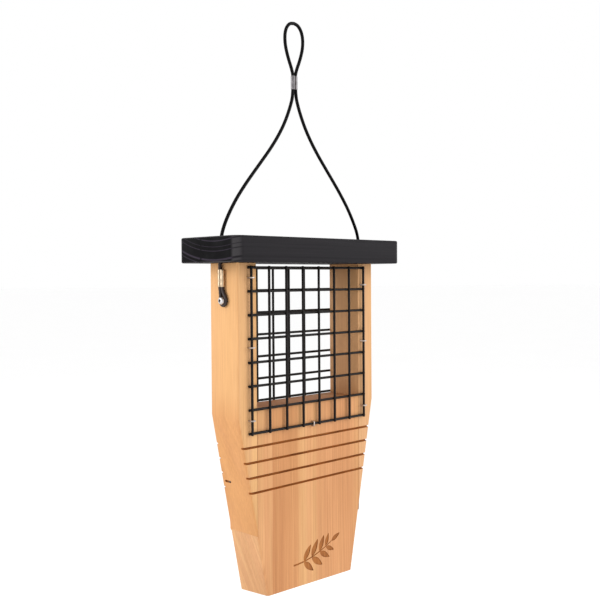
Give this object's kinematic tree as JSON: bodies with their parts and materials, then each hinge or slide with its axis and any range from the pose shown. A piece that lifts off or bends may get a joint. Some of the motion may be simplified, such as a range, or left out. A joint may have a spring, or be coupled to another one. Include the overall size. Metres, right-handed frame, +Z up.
{
  "type": "hanging bird feeder",
  "caption": "Hanging suet feeder for clinging birds: a wooden frame with a long tapered tail, wire grids on both faces and a black roof that slides up its cable.",
  "frame": {"origin": "the point inside the top of the cable's hanging loop where a hook bears", "axes": "+Z up; X along the front, with the left side board at -X; the front faces -Y"},
  "size_m": [0.1962, 0.075, 0.4866],
  "materials": {
    "cedar": "planed and lightly sanded cedar, unfinished, straight grain down the feeder",
    "black_stained_wood": "black stain, matt, with the grain and end rings showing through",
    "coated_wire": "black vinyl coating on welded steel wire, satin",
    "staple_steel": "galvanised, dull bright",
    "zinc_screw": "zinc plated, bright",
    "sleeve_aluminium": "crimped, satin with die marks",
    "cable_coating": "black vinyl over stranded steel cable, satin"
  },
  "bodies": {
    "feeder": {"left_side_board": "cedar", "right_side_board": "cedar", "tail_block": "cedar", "front_wire_grid": "coated_wire", "back_wire_grid": "coated_wire", "front_staple_left_top": "staple_steel", "front_staple_left_middle": "staple_steel", "front_staple_left_bottom": "staple_steel", "front_staple_right_top": "staple_steel", "front_staple_right_middle": "staple_steel", "front_staple_right_bottom": "staple_steel", "front_staple_bottom_centre": "staple_steel", "back_staple_left_top": "staple_steel", "back_staple_left_middle": "staple_steel", "back_staple_left_bottom": "staple_steel", "back_staple_right_top": "staple_steel", "back_staple_right_middle": "staple_steel", "back_staple_right_bottom": "staple_steel", "back_staple_bottom_centre": "staple_steel", "left_cable_screw": "zinc_screw", "right_cable_screw": "zinc_screw", "left_brad_nail": "staple_steel", "right_brad_nail": "staple_steel", "cable_left_leg": "cable_coating", "cable_right_leg": "cable_coating", "cable_hanging_loop": "cable_coating", "cable_left_screw_loop": "cable_coating", "cable_right_screw_loop": "cable_coating", "top_cable_sleeve": "sleeve_aluminium", "left_cable_sleeve": "sleeve_aluminium", "right_cable_sleeve": "sleeve_aluminium"},
    "roof": {"roof_board": "black_stained_wood"}
  },
  "joints": [
    {"name": "roof_slide", "type": "slide", "parent": "feeder", "child": "roof", "axis": [0, 0, 1], "range_m": [0, 0.06], "deforming": ["cable_left_leg", "cable_right_leg"]}
  ]
}
